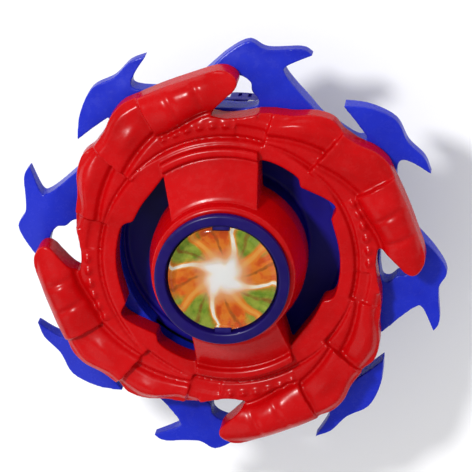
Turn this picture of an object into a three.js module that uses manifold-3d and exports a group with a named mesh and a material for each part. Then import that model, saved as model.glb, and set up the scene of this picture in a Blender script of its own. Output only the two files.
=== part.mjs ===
// A light-up spinning top for a cord launcher, built as the pieces that it comes apart into.
// Millimetres. +Z is the spin axis, and the origin is the point of the tip that meets the ground.

import * as THREE from "three";
import { mergeVertices } from "three/addons/utils/BufferGeometryUtils.js";
import Module from "manifold-3d";

const wasm = await Module();
wasm.setup();

// ---------------------------------------------------------------- driving dimensions

const GAP = 0.3; // between pieces that rest on each other
const COARSE = 36; // sides of a large turned piece
const FINE = 16; // sides of a small turned piece
const TINY = 10; // sides of the smallest ones

const QUADRANTS = [0, 90, 180, 270]; // the rings repeat four times
const EAR_DEG = 98.5; // middle of one ear, the other is opposite
const RELEASE_DEG = EAR_DEG - 20; // one release button, the other is opposite
const SCREW_DEG = [49, 169, 289]; // the screws under the base

const TIP = { flatR: 1.4, toeR: 2.2, heelR: 2.8, r: 3.1, neckR: 2.6, top: 5.4, bore: 1.35, boreFloor: 2.2 };
const SHAFT = { r: 1.2, foot: 2.4, top: 12, collarR: 2.1, collar: [6.2, 6.9] };
const GROOVE = { r: 0.85, z: [10.6, 11.2] }; // for the clip, near the top of the shaft
const CLIP = { inner: 1.05, r: 1.95, play: 0.1, mouthHalfW: 0.7 };
const BEARING = { r: 4, bore: 1.35, bottom: 7.2, top: 10.2, innerR: 2.3, outerR: 3.1, pitchR: 2.7 };
const BALL = { r: 0.58, count: 7, cageHalfW: 0.15, cageHalfH: 0.3 };

const LOWER = { footR: 5.4, foot: 5.6, rimR: 16.3, rim: 13, tipHoleR: 3.6, seatR: 4.15, bossR: 5.4 };
const UPPER = { bottom: 13.3, wall: 1.4, flangeR: 19.6, flange: [16.5, 18], cupR: 16.2, cupTop: 21.4 };
const SLOT = { floor: 20.6, floorUnder: 19.4, outerR: 15.2 };
const RING_TWIST = 27; // degrees that the crown turns on the base to come free
const TUBE = { r: 10.3, bore: 9, top: 25.3, lipR: 5, lip: 14.3, retainerR: 3.5, retainer: 10.6 };
const SCREW = { circleR: 12.6, headR: 1.5, headTop: 10.8, shankR: 0.9, holeR: 1.1, bossR: 2, top: 18.4 };

const DISK = { r: 19.8, hole: 16.6, bottom: 18.3, top: 21.5, keyW: 2.2, keyR: 17.3 };
const SCALLOP = { count: 6, circleR: 22.1, r: 3.2 };
const BLADE = { bottom: 21.8, top: 25.5, hole: 15.4 };
const ATTACK = { bottom: 25.8, plateTop: 29.8, plateletTop: 30.7, clawTop: 31.3 };
const TOWER = { bore: 8.9, footR: 10.8, shoulder: 30, topR: 9.8, top: 36.3 };
const EAR = { r: 16.6, rimTop: 31.8, hubTop: 34.6, halfInner: 5.8, halfOuter: 6.8 };
const HOOK = { innerR: 11.4, legR: 13.4, r: 14.8, bottom: 22.6, top: 23.7, half: 11 };
const TAB = { r: 12.6, bottom: 24.1, half: 12 };

const BUTTON_TRAVEL = 1; // inwards
const BUTTON = { innerR: 17.6, r: 19.4, z: [13.6, 16.2], half: 14 };
const STEM = { end: 12.4, halfW: 2, z: [14, 15.8] };
const FINGER = { x: [14.4, 15.9], halfW: 1.2, top: 24.4 };
const LEAF = { mid: 11.9, end: 10.1, halfL: 3.6, thick: 0.35, z: [14.2, 15.6] };

const CORE = { r: 8.5, inner: 7.3, bottom: 14.6, floor: 15.8, top: 33.6, ledgeR: 6.8 };
const HOLDER = { r: 6.95, inner: 6.15, bottom: 16.1, top: 27.2 };
const CELL = { r: 5.8, h: 3.05, pitch: 3.2, bottom: 16.9, capR: 4.6, step: 0.3 };
const CONTACT = { r: 4.5, thick: 0.4, negative: 16.2, positive: 26.65, armHalfW: 0.8, armEnd: 5.9 };
const BOARD = { r: 7, bottom: 28.6, top: 29.6 };
const LED = { circleR: 4.2, flangeR: 1.55, r: 1.35, top: 33.3, degrees: { red: 90, green: 210, blue: 330 } };
const SWITCH = { x: [-0.5, 3.9], y: [0, 2.2], floor: 29.8, top: 31.7, wall: 0.35 };

const SWITCH_WEIGHT = { x: [0.15, 1.95], y: [0.65, 1.55], z: [30.5, 31.4] };
const SWITCH_COIL = { r: 0.32, wireR: 0.07, turns: 4, perTurn: 8, play: 0.1 };
const CHIP_PACKAGE = { r: 2, drop: [0.2, 1.1] }; // below the board
const WIRE_R = 0.25;
const NEGATIVE_WIRE = [
  [0, -6.35, 16.6], [0, -6.75, 17.6], [0, -6.75, 22], [0, -6.75, 25.8], [0, -6.3, 27.1], [0, -5.8, 28.3],
];
const POSITIVE_WIRE = [[0, 6.3, 26.9], [0, 6.25, 27.5], [0, 5.8, 28.3]];

const COLLAR = { r: 9.2, inner: 7.7, skirtR: 8.4, lipR: 6.4, bottom: 34.2, flange: 36.6, top: 38 };
const NIB = { halfW: 0.9, depth: 0.5 }; // keeps the lens from turning
const LENS = { r: 7.4, bottom: 35.5, edge: 37.2, top: 37.7, notchHalfW: 1.2, notchR: 6.9 };
const STICKER = { r: 7.3, bottom: 35, top: 35.3 };

// ---------------------------------------------------------------- ring outlines
// Each stroke is a smooth run of [degrees, radius] points; strokes meet at sharp corners.
// A quadrant's strokes follow on from each other, and the last one leads into the next quadrant.

const ATTACK_STROKES = [
  [[-12, 21.4], [-6, 20.6], [0, 20.3], [6, 20.7]], // floor of the notch in front of a claw
  [
    [6, 20.7], [3.5, 21.9], [0, 23.2], [-3, 24.4], [-3.8, 25.5], // underside of the claw, and its tip
    [-2, 26.5], [2, 27], [10, 26.3], [20, 25.9], [28, 25.9], // its back
  ],
  [[28, 25.9], [33, 26.1], [38, 25.6], [43, 24.6], [49, 24.2]], // first plate behind the claw
  [[49, 24.2], [54, 24.6], [60, 23.9], [66, 22.6], [72, 22]], // second plate
];

const BLADE_STROKES = [
  [[12, 24.3], [17, 23.8], [22, 24.6], [28, 26], [29.6, 27.1], [27, 28.3], [22.2, 29.8]], // short tooth
  [[22.2, 29.8], [27, 29.9], [32.8, 29.1], [39.7, 29.6], [47, 28.2], [53.3, 26.2]], // its outer edge
  [[53.3, 26.2], [47, 25.6], [41, 25.2]], // underside of its free tail
  [
    [41, 25.2], [43, 23.9], [50, 23.3], [57, 23.2], // edge of the plate
    [63, 24.1], [69, 25.3], [73, 26.6], [73.2, 27.6], [67.5, 30.2], // long tooth
  ],
  [[67.5, 30.2], [71, 30.4], [79.5, 29.1], [84.5, 29.9], [90, 28.3], [97, 25.7]], // its outer edge
];

const BLADE_WINDOW = [
  [97.5, 20.8], [99, 22.5], [97, 25.2], [91, 25.6], [86, 25.2], [82.8, 24.4],
  [82, 23.2], [79.5, 22.3], [79.5, 21.2], [85, 20.6], [91, 20.6],
];

// The hole in the attack ring: a ratchet step towards each launcher slot, and a land before each ear.
const SLOT_STROKES = [
  [[-45, 14.2], [-34, 14.1], [-23, 14.1]],
  [[-23, 14.1], [-18, 15.3], [-5, 15.4], [8, 15.4], [24, 15.6]],
  [[24, 15.6], [28, 16.9], [34, 16.4], [47, 14.8]],
  [[47, 14.8], [52, 15.6], [64, 15.6], [75, 15.2], [105, 15.2], [125, 14.8]],
];

// The raised cap of a claw and the raised platelet behind it.
const CLAW_CAP = [
  [8, 20.7], [3, 22.6], [-1.5, 24.6], [-0.5, 25.7], [3, 26.1], [12, 25.3], [26, 24.9], [26, 20.4], [16, 20.4],
];
const PLATELET = [
  [31, 18], [31, 25], [37, 24.6], [44, 23.4], [52, 23.4], [60, 22.4], [68, 21], [70, 17.6], [50, 17],
];

// ---------------------------------------------------------------- geometry helpers

const radians = (degrees) => THREE.MathUtils.degToRad(degrees);
const polar = (degrees, r) => new THREE.Vector2(r, 0).rotateAround(new THREE.Vector2(), radians(degrees));
const turnedBy = (geometry, degrees) => geometry.clone().rotateZ(radians(degrees));

// A closed geometry as a manifold-3d solid with its faces out.
function manifoldOf(geometry) {
  const bare = geometry.clone();
  bare.deleteAttribute("normal");
  bare.deleteAttribute("uv");
  const merged = mergeVertices(bare);
  const vertProperties = new Float32Array(merged.getAttribute("position").array);
  const triVerts = new Uint32Array(merged.index.array);
  const made = new wasm.Manifold(new wasm.Mesh({ numProp: 3, vertProperties, triVerts }));
  if (made.volume() > 0) return made;
  return new wasm.Manifold(new wasm.Mesh({ numProp: 3, vertProperties, triVerts: triVerts.reverse() }));
}

function geometryOf(made) {
  const mesh = made.getMesh();
  const geometry = new THREE.BufferGeometry();
  geometry.setAttribute("position", new THREE.BufferAttribute(mesh.vertProperties, 3));
  geometry.setIndex(new THREE.BufferAttribute(mesh.triVerts, 1));
  return geometry;
}

const join = (...pieces) => geometryOf(pieces.map(manifoldOf).reduce((all, piece) => all.add(piece)));
const cut = (body, ...tools) =>
  geometryOf(tools.map(manifoldOf).reduce((left, tool) => left.subtract(tool), manifoldOf(body)));
const common = (a, b) => geometryOf(manifoldOf(a).intersect(manifoldOf(b)));

// A profile of [radius, height] points turned about Z. One that doesn't start on the axis closes on itself.
function turned(profile, sides = COARSE) {
  const points = profile.map(([r, z]) => new THREE.Vector2(r, z));
  if (profile[0][0] > 0) points.push(points[0].clone());
  return geometryOf(manifoldOf(new THREE.LatheGeometry(points, sides).rotateX(Math.PI / 2)));
}

const disc = (r, bottom, top, sides = COARSE) =>
  turned([[0, bottom], [r, bottom], [r, top], [0, top]], sides);
const tube = (inner, outer, bottom, top, sides = COARSE) =>
  turned([[inner, bottom], [outer, bottom], [outer, top], [inner, top]], sides);
const post = (x, y, r, bottom, top, sides = FINE) => disc(r, bottom, top, sides).translate(x, y, 0);

function block([x0, x1], [y0, y1], [z0, z1]) {
  const geometry = new THREE.BoxGeometry(x1 - x0, y1 - y0, z1 - z0);
  return geometry.translate((x0 + x1) / 2, (y0 + y1) / 2, (z0 + z1) / 2);
}

function prism(points, bottom, top) {
  const options = { depth: top - bottom, bevelEnabled: false };
  return new THREE.ExtrudeGeometry(new THREE.Shape(points), options).translate(0, 0, bottom);
}

// A slice of a flat ring, centred on an angle.
function sector(inner, outer, middle, half, bottom, top) {
  const shape = new THREE.Shape();
  shape.absarc(0, 0, outer, radians(middle - half), radians(middle + half), false);
  shape.absarc(0, 0, inner, radians(middle + half), radians(middle - half), true);
  const options = { depth: top - bottom, bevelEnabled: false, curveSegments: 4 };
  return new THREE.ExtrudeGeometry(shape, options).translate(0, 0, bottom);
}

// The closed outline that the strokes make when they are repeated at each of the starts round the axis.
function ringOutline(strokes, stepsPerPoint, starts = QUADRANTS) {
  const outline = [];
  for (const quadrant of starts) {
    for (const stroke of strokes) {
      const curve = new THREE.SplineCurve(stroke.map(([degrees, r]) => polar(degrees + quadrant, r)));
      outline.push(...curve.getPoints((stroke.length - 1) * stepsPerPoint).slice(0, -1));
    }
    const [degrees, r] = strokes.at(-1).at(-1);
    outline.push(polar(degrees + quadrant, r));
  }
  return outline;
}

// A wire of round section along a smooth path.
function wire(points, r, steps, sides = 8) {
  const section = new THREE.Shape();
  for (let i = 0; i < sides; i++) {
    const p = polar((i * 360) / sides, r);
    if (i === 0) section.moveTo(p.x, p.y);
    else section.lineTo(p.x, p.y);
  }
  const extrudePath = new THREE.CatmullRomCurve3(points.map((p) => new THREE.Vector3(...p)));
  return new THREE.ExtrudeGeometry(section, { steps, extrudePath, bevelEnabled: false });
}

const bothSides = (geometry) => [geometry, turnedBy(geometry, 180)];

// ---------------------------------------------------------------- materials

const finish = (color, roughness, metalness = 0, opacity = 1) =>
  new THREE.MeshStandardMaterial({ color, roughness, metalness, opacity, transparent: opacity < 1 });

const MATERIALS = {
  red: finish(0xcd0c16, 0.32),
  blue: finish(0x1c2ad7, 0.3),
  navy: finish(0x21127a, 0.38),
  zinc: finish(0x9a9ca0, 0.35, 1),
  steel: finish(0xb9bcc0, 0.25, 1),
  black: finish(0x141416, 0.5),
  tip: finish(0x18181c, 0.45),
  nylon: finish(0xe4e2d8, 0.55),
  lens: finish(0xf4f8ff, 0.08, 0, 0.35),
  print: finish(0xd98a2c, 0.4),
  board: finish(0x1d6b34, 0.5),
  brass: finish(0xc9a452, 0.35, 1),
  cell: finish(0xc6c8cc, 0.22, 1),
  wireRed: finish(0xb81818, 0.5),
  wireBlack: finish(0x101010, 0.5),
};
const LED_MATERIALS = {
  red: finish(0xff3b30, 0.15),
  green: finish(0x34e05a, 0.15),
  blue: finish(0x3a6bff, 0.15),
};

// ---------------------------------------------------------------- tip and bearing

function tipCap() {
  const { flatR, toeR, heelR, r, neckR, top, bore, boreFloor } = TIP;
  const outside = [[0, 0], [flatR, 0], [toeR, 0.5], [heelR, 1.6], [r, 3], [r, top - 0.5], [neckR, top]];
  return turned([...outside, [bore, top], [bore, boreFloor], [0, boreFloor]], FINE);
}

function tipShaft() {
  const { r, foot, top, collarR, collar } = SHAFT;
  const [grooveFoot, grooveTop] = GROOVE.z;
  const chamfer = 0.3;
  return turned([
    [0, foot], [r, foot], [r, collar[0]], [collarR, collar[0]], [collarR, collar[1]], [r, collar[1]],
    [r, grooveFoot], [GROOVE.r, grooveFoot], [GROOVE.r, grooveTop], [r, grooveTop],
    [r, top - chamfer], [r - chamfer, top], [0, top],
  ], FINE);
}

function shaftClip() {
  const { inner, r, play, mouthHalfW } = CLIP;
  const [low, high] = GROOVE.z;
  const mouth = block([0, r + 1], [-mouthHalfW, mouthHalfW], [low - 1, high + 1]);
  return cut(tube(inner, r, low + play, high - play, FINE), mouth);
}

function bearingRing(flat, face, track) {
  const { bottom, top } = BEARING;
  const middle = (bottom + top) / 2;
  const lip = 0.8;
  return turned([
    [flat, bottom], [face, bottom], [face, bottom + lip], [track, middle], [face, top - lip], [face, top],
    [flat, top],
  ], FINE);
}

function bearingBallCage() {
  const middle = (BEARING.bottom + BEARING.top) / 2;
  const { r, count, cageHalfW, cageHalfH } = BALL;
  const { pitchR } = BEARING;
  const balls = Array.from({ length: count }, (_, i) => {
    const { x, y } = polar((i * 360) / count, pitchR);
    return new THREE.SphereGeometry(r, 8, 5).rotateX(Math.PI / 2).translate(x, y, middle);
  });
  const cage = tube(pitchR - cageHalfW, pitchR + cageHalfW, middle - cageHalfH, middle + cageHalfH, FINE);
  return join(cage, ...balls);
}

// ---------------------------------------------------------------- base

function baseLowerShell() {
  const { footR, foot, rimR, rim, tipHoleR, seatR, bossR } = LOWER;
  const seat = BEARING.bottom - 0.1;
  const bossTop = TUBE.retainer - GAP;
  const shell = turned([
    [tipHoleR, foot], [footR, foot], [7, 6.3], [13, 9.4], [rimR, 12], [rimR, rim], [rimR - UPPER.wall, rim],
    [rimR - UPPER.wall, 12.6], [12.4, 10.7], [6.8, 8.1], [bossR, 8.1], [bossR, bossTop], [seatR, bossTop],
    [seatR, seat], [tipHoleR, seat],
  ]);
  const screwPosts = SCREW_DEG.map((degrees) => {
    const { x, y } = polar(degrees, SCREW.circleR);
    return post(x, y, SCREW.bossR, SCREW.headTop - 0.3, rim);
  });
  const screwHoles = SCREW_DEG.flatMap((degrees) => {
    const { x, y } = polar(degrees, SCREW.circleR);
    const recess = post(x, y, SCREW.headR + GAP, foot, SCREW.headTop);
    return [recess, post(x, y, SCREW.holeR, foot, rim + 1)];
  });
  return cut(join(shell, ...screwPosts), ...screwHoles);
}

function baseUpperShell() {
  const { bottom, flangeR, flange, cupR, cupTop } = UPPER;
  const innerWall = LOWER.rimR - UPPER.wall;
  const shell = turned([
    [LOWER.rimR, bottom], [LOWER.rimR, flange[0]], [flangeR, flange[0]], [flangeR, flange[1]],
    [cupR, flange[1]], [cupR, cupTop], [SLOT.outerR, cupTop], [SLOT.outerR, SLOT.floor],
    [TUBE.r, SLOT.floor], [TUBE.r, TUBE.top], [TUBE.bore, TUBE.top],
    [TUBE.bore, TUBE.lip], [TUBE.lipR, TUBE.lip], [TUBE.retainerR, TUBE.lip - 0.6],
    [TUBE.retainerR, TUBE.retainer], [LOWER.bossR, TUBE.retainer], [LOWER.bossR, bottom], [TUBE.r, bottom],
    [TUBE.r, SLOT.floorUnder], [innerWall, SLOT.floorUnder], [innerWall, bottom],
  ]);
  const screwPosts = SCREW_DEG.map((degrees) => {
    const { x, y } = polar(degrees, SCREW.circleR);
    return post(x, y, SCREW.bossR, bottom, SLOT.floorUnder + 0.2);
  });
  const screwHoles = SCREW_DEG.map((degrees) => {
    const { x, y } = polar(degrees, SCREW.circleR);
    return post(x, y, SCREW.holeR, bottom - 1, SCREW.top + 0.3);
  });
  const tabs = bothSides(sector(TUBE.r - 0.5, TAB.r, EAR_DEG, TAB.half, TAB.bottom, TUBE.top));
  const halfKey = DISK.keyW / 2;
  const keys = bothSides(block([cupR - 0.6, DISK.keyR], [-halfKey, halfKey], [flange[1] - 0.2, cupTop]));
  const stemHalf = STEM.halfW + 0.4;
  const stemX = [innerWall - 1.4, LOWER.rimR + 0.7];
  const stemRoom = block(stemX, [-stemHalf, stemHalf], [bottom - 0.5, STEM.z[1] + GAP]);
  const fingerHalf = FINGER.halfW + GAP;
  const fingerX = [FINGER.x[0] - BUTTON_TRAVEL - 0.4, DISK.hole];
  const fingerRoom = block(fingerX, [-fingerHalf, fingerHalf], [STEM.z[1], cupTop + 0.5]);
  const rooms = [stemRoom, fingerRoom].flatMap((room) => bothSides(turnedBy(room, RELEASE_DEG)));
  return cut(join(shell, ...screwPosts, ...tabs, ...keys), ...screwHoles, ...rooms);
}

function baseScrew() {
  const { headR, headTop, shankR, top } = SCREW;
  const headBottom = headTop - 1.2;
  const body = turned([
    [0, headBottom], [headR - 0.3, headBottom], [headR, headBottom + 0.3], [headR, headTop - 0.1],
    [shankR, headTop - 0.1], [shankR, top - 0.8], [0.3, top], [0, top],
  ], TINY);
  const slot = block([-1, 1], [-0.2, 0.2], [headBottom - 1, headBottom + 0.6]);
  return cut(body, slot, turnedBy(slot, 90));
}

// A button under the flange, with a stem to its leaf spring and a finger that locks the blade ring.
function releaseButton() {
  const pad = sector(BUTTON.innerR, BUTTON.r, 0, BUTTON.half, ...BUTTON.z);
  const stem = block([STEM.end, BUTTON.innerR + 0.5], [-STEM.halfW, STEM.halfW], STEM.z);
  const finger = block(FINGER.x, [-FINGER.halfW, FINGER.halfW], [STEM.z[1] - 0.2, FINGER.top]);
  return join(pad, stem, finger);
}

function leafSpring() {
  const { mid, end, halfL, thick, z } = LEAF;
  const shape = new THREE.Shape();
  shape.moveTo(end, -halfL);
  shape.quadraticCurveTo(2 * mid - end, 0, end, halfL);
  shape.lineTo(end - thick, halfL);
  shape.quadraticCurveTo(2 * (mid - thick) - (end - thick), 0, end - thick, -halfL);
  shape.closePath();
  const options = { depth: z[1] - z[0], bevelEnabled: false, curveSegments: 6 };
  return new THREE.ExtrudeGeometry(shape, options).translate(0, 0, z[0]);
}

// ---------------------------------------------------------------- rings

function weightDisk() {
  const { r, hole, bottom, top, keyW, keyR } = DISK;
  const halfNotch = keyW / 2 + GAP;
  const notch = block([hole - 1, keyR + GAP], [-halfNotch, halfNotch], [bottom - 1, top + 1]);
  const bites = Array.from({ length: SCALLOP.count }, (_, i) => {
    const { x, y } = polar(((i + 0.5) * 360) / SCALLOP.count, SCALLOP.circleR);
    return post(x, y, SCALLOP.r, bottom - 1, top + 1);
  });
  return cut(tube(hole, r, bottom, top), ...bothSides(notch), ...bites);
}

function bladeRing() {
  const { bottom, top, hole } = BLADE;
  const plate = prism(ringOutline(BLADE_STROKES, 1), bottom, top);
  const windowPoints = BLADE_WINDOW.map(([degrees, r]) => polar(degrees, r));
  const windows = QUADRANTS.map((quadrant) => turnedBy(prism(windowPoints, bottom - 1, top + 1), quadrant));
  const fingerHalf = 6; // degrees, half the finger's width and its clearance
  const middle = RELEASE_DEG - RING_TWIST / 2;
  const half = RING_TWIST / 2 + fingerHalf;
  const lockRooms = bothSides(sector(hole - 1, FINGER.x[1] + GAP, middle, half, bottom - 1, top + 1));
  return cut(plate, disc(hole, bottom - 1, top + 1), ...windows, ...lockRooms);
}

// An ear is a fan that falls from the tower to a raised rim.
function ear() {
  const { r, rimTop, hubTop, halfInner, halfOuter } = EAR;
  const inner = TOWER.bore + 0.5;
  const ring = turned([
    [inner, ATTACK.bottom], [r, ATTACK.bottom], [r, rimTop - 0.5], [r - 0.5, rimTop], [r - 1.1, rimTop - 0.2],
    [r - 1.3, rimTop - 1], [TOWER.footR - 0.4, hubTop], [inner, hubTop],
  ]);
  const fan = [[8, -halfInner], [r + 1, -halfOuter], [r + 1, halfOuter], [8, halfInner]];
  const fanPoints = fan.map(([x, y]) => new THREE.Vector2(x, y));
  return turnedBy(common(ring, prism(fanPoints, ATTACK.bottom - 1, hubTop + 1)), EAR_DEG);
}

function attackRing() {
  const { bottom, plateTop, plateletTop, clawTop } = ATTACK;
  const plate = prism(ringOutline(ATTACK_STROKES, 1), bottom, plateTop);
  const ring = cut(plate, prism(ringOutline(SLOT_STROKES, 2, [0, 180]), bottom - 1, plateTop + 1));
  const raised = (points, top) => {
    const cap = prism(points.map(([degrees, r]) => polar(degrees, r)), plateTop - 0.5, top);
    return QUADRANTS.map((quadrant) => turnedBy(cap, quadrant));
  };
  const tower = turned([
    [TOWER.bore, bottom], [TOWER.footR, bottom], [TOWER.footR, TOWER.shoulder], [TOWER.topR, TOWER.top - 0.4],
    [TOWER.topR - 0.4, TOWER.top], [TOWER.bore, TOWER.top],
  ]);
  const hookLeg = sector(HOOK.legR, HOOK.r, EAR_DEG, HOOK.half, HOOK.bottom, bottom + 0.5);
  const hookFoot = sector(HOOK.innerR, HOOK.r, EAR_DEG, HOOK.half, HOOK.bottom, HOOK.top);
  const doubled = [ear(), hookLeg, hookFoot].flatMap(bothSides);
  return join(ring, ...raised(CLAW_CAP, clawTop), ...raised(PLATELET, plateletTop), tower, ...doubled);
}

// ---------------------------------------------------------------- core and light

function coreHalf(side) {
  const { r, inner, bottom, floor, top, ledgeR } = CORE;
  const under = BOARD.bottom - GAP;
  const over = BOARD.top + GAP;
  const rib = 0.6;
  const cup = turned([
    [0, bottom], [r, bottom], [r, top], [inner, top],
    [inner, over + rib], [ledgeR, over + rib], [ledgeR, over], [inner, over], // rib over the board
    [inner, under], [ledgeR, under], [ledgeR, under - rib], [inner, under - rib], // rib under it
    [inner, floor], [0, floor],
  ]);
  const split = GAP / 2;
  const reach = r + 1;
  const half = side < 0 ? [-reach, -split] : [split, reach];
  return common(cup, block(half, [-reach, reach], [bottom - 1, top + 1]));
}

function cellHolder() {
  const { r, inner, bottom, top } = HOLDER;
  const wireSlot = block([-1, 1], [-r - 1, -inner + 1], [bottom - 1, top + 1]);
  const armSlot = block([-1, 1], [inner - 1, r + 1], [CONTACT.positive - 1, top + 1]);
  return cut(tube(inner, r, bottom, top), wireSlot, armSlot);
}

function buttonCell(index) {
  const { r, h, pitch, bottom, capR, step } = CELL;
  const foot = bottom + index * pitch;
  return turned([
    [0, foot], [capR, foot], [capR, foot + step], [r - 0.2, foot + step], [r, foot + step + 0.2],
    [r, foot + h - 0.2], [r - 0.2, foot + h], [0, foot + h],
  ], FINE);
}

// side is 1 for the arm towards +Y and -1 for the arm towards -Y.
function contact(bottom, side) {
  const { r, thick, armHalfW, armEnd } = CONTACT;
  const arm = side > 0 ? [r - 1, armEnd] : [-armEnd, 1 - r];
  const z = [bottom, bottom + thick];
  return join(disc(r, ...z, FINE), block([-armHalfW, armHalfW], arm, z));
}

function circuitBoard() {
  const notch = block([-1, 1], [BOARD.r - 0.5, BOARD.r + 1], [BOARD.bottom - 1, BOARD.top + 1]);
  return cut(disc(BOARD.r, BOARD.bottom, BOARD.top), ...bothSides(notch));
}

// A blob of black resin over the bare chip.
function controlChip() {
  const { r, drop } = CHIP_PACKAGE;
  return disc(r, BOARD.bottom - drop[1], BOARD.bottom - drop[0], TINY);
}

function led(degrees) {
  const { circleR, flangeR, r, top } = LED;
  const foot = BOARD.top + 0.1;
  const domeFoot = top - r;
  const dome = [20, 45, 70].map((a) => [r * Math.cos(radians(a)), domeFoot + r * Math.sin(radians(a))]);
  const flangeTop = foot + 0.6;
  const stem = [[0, foot], [flangeR, foot], [flangeR, flangeTop], [r, flangeTop], [r, domeFoot]];
  const { x, y } = polar(degrees, circleR);
  return turned([...stem, ...dome, [0, top]], TINY).translate(x, y, 0);
}

function switchGuide() {
  const { x, y, floor, top, wall } = SWITCH;
  const outside = block(x, y, [floor, top]);
  const channel = block([x[0] + wall, x[1] - wall], [y[0] + wall, y[1] - wall], [floor + 0.4, top + 1]);
  return cut(outside, channel);
}

function switchSpring() {
  const { r, wireR, turns, perTurn, play } = SWITCH_COIL;
  const start = SWITCH_WEIGHT.x[1] + play + wireR;
  const end = SWITCH.x[1] - SWITCH.wall - play - wireR;
  const y = (SWITCH_WEIGHT.y[0] + SWITCH_WEIGHT.y[1]) / 2;
  const z = (SWITCH_WEIGHT.z[0] + SWITCH_WEIGHT.z[1]) / 2;
  const points = Array.from({ length: turns * perTurn + 1 }, (_, i) => {
    const angle = (i * 2 * Math.PI) / perTurn;
    const along = start + ((end - start) * i) / (turns * perTurn);
    return [along, y + r * Math.cos(angle), z + r * Math.sin(angle)];
  });
  return wire(points, wireR, turns * perTurn, 4);
}

// ---------------------------------------------------------------- chip

function chipCollar() {
  const { r, inner, skirtR, lipR, bottom, flange, top } = COLLAR;
  const ring = turned([
    [lipR, bottom], [skirtR, bottom], [skirtR, flange], [r, flange], [r, top - 0.4], [r - 0.4, top],
    [inner + 0.2, top], [inner, top - 0.2], [inner, bottom + 0.6], [lipR, bottom + 0.6],
  ]);
  const nib = block([-NIB.halfW, NIB.halfW], [inner - NIB.depth, inner + 0.5], [LENS.bottom, LENS.edge]);
  return join(ring, ...bothSides(nib));
}

function chipLens() {
  const { r, bottom, edge, top, notchHalfW, notchR } = LENS;
  const dome = turned([
    [0, bottom], [r, bottom], [r, edge], [r - 0.4, edge + 0.25], [r * 0.6, top - 0.05], [0, top],
  ]);
  const room = block([-notchHalfW, notchHalfW], [notchR, r + 1], [bottom - 1, top + 1]);
  return cut(dome, ...bothSides(room));
}

// ---------------------------------------------------------------- assembly

const top = new THREE.Group();

function add(name, geometry, material) {
  const flat = geometry.index ? geometry.toNonIndexed() : geometry;
  flat.computeVertexNormals();
  const mesh = new THREE.Mesh(flat, material);
  mesh.name = name;
  top.add(mesh);
  return mesh;
}

add("tip_cap", tipCap(), MATERIALS.tip);
add("tip_shaft", tipShaft(), MATERIALS.steel);
add("shaft_clip", shaftClip(), MATERIALS.steel);
add("bearing_inner_ring", bearingRing(BEARING.bore, BEARING.innerR, BEARING.innerR - 0.25), MATERIALS.steel);
add("bearing_outer_ring", bearingRing(BEARING.r, BEARING.outerR, BEARING.outerR + 0.25), MATERIALS.steel);
add("bearing_ball_cage", bearingBallCage(), MATERIALS.steel);

add("base_lower_shell", baseLowerShell(), MATERIALS.navy);
add("base_upper_shell", baseUpperShell(), MATERIALS.navy);
SCREW_DEG.forEach((degrees, i) => {
  const { x, y } = polar(degrees, SCREW.circleR);
  add(`base_screw_${i + 1}`, baseScrew(), MATERIALS.steel).position.set(x, y, 0);
});
[["left", RELEASE_DEG + 180], ["right", RELEASE_DEG]].forEach(([side, degrees]) => {
  add(`release_button_${side}`, releaseButton(), MATERIALS.navy).rotation.z = radians(degrees);
  add(`release_spring_${side}`, leafSpring(), MATERIALS.steel).rotation.z = radians(degrees);
});

add("weight_disk", weightDisk(), MATERIALS.zinc);
add("blade_ring", bladeRing(), MATERIALS.blue);
add("attack_ring", attackRing(), MATERIALS.red);

add("core_shell_left", coreHalf(-1), MATERIALS.black);
add("core_shell_right", coreHalf(1), MATERIALS.black);
add("cell_holder", cellHolder(), MATERIALS.nylon);
["bottom", "middle", "top"].forEach((place, i) => add(`button_cell_${place}`, buttonCell(i), MATERIALS.cell));
add("contact_negative", contact(CONTACT.negative, -1), MATERIALS.brass);
add("contact_positive", contact(CONTACT.positive, 1), MATERIALS.brass);
add("wire_negative", wire(NEGATIVE_WIRE, WIRE_R, 12, 6), MATERIALS.wireBlack);
add("wire_positive", wire(POSITIVE_WIRE, WIRE_R, 4, 6), MATERIALS.wireRed);
add("circuit_board", circuitBoard(), MATERIALS.board);
add("control_chip", controlChip(), MATERIALS.black);
Object.entries(LED.degrees).forEach(([colour, degrees]) => {
  add(`led_${colour}`, led(degrees), LED_MATERIALS[colour]);
});
add("switch_guide", switchGuide(), MATERIALS.nylon);
add("switch_weight", block(SWITCH_WEIGHT.x, SWITCH_WEIGHT.y, SWITCH_WEIGHT.z), MATERIALS.brass);
add("switch_spring", switchSpring(), MATERIALS.steel);

add("chip_collar", chipCollar(), MATERIALS.navy);
add("chip_sticker", disc(STICKER.r, STICKER.bottom, STICKER.top), MATERIALS.print);
add("chip_lens", chipLens(), MATERIALS.lens);

export default top;
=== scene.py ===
"""The looks of a light-up spinning top.

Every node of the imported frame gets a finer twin, with rounded edges and a procedural material.
"""

import math

import bmesh
import bpy
from mathutils import Matrix, Vector


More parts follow.
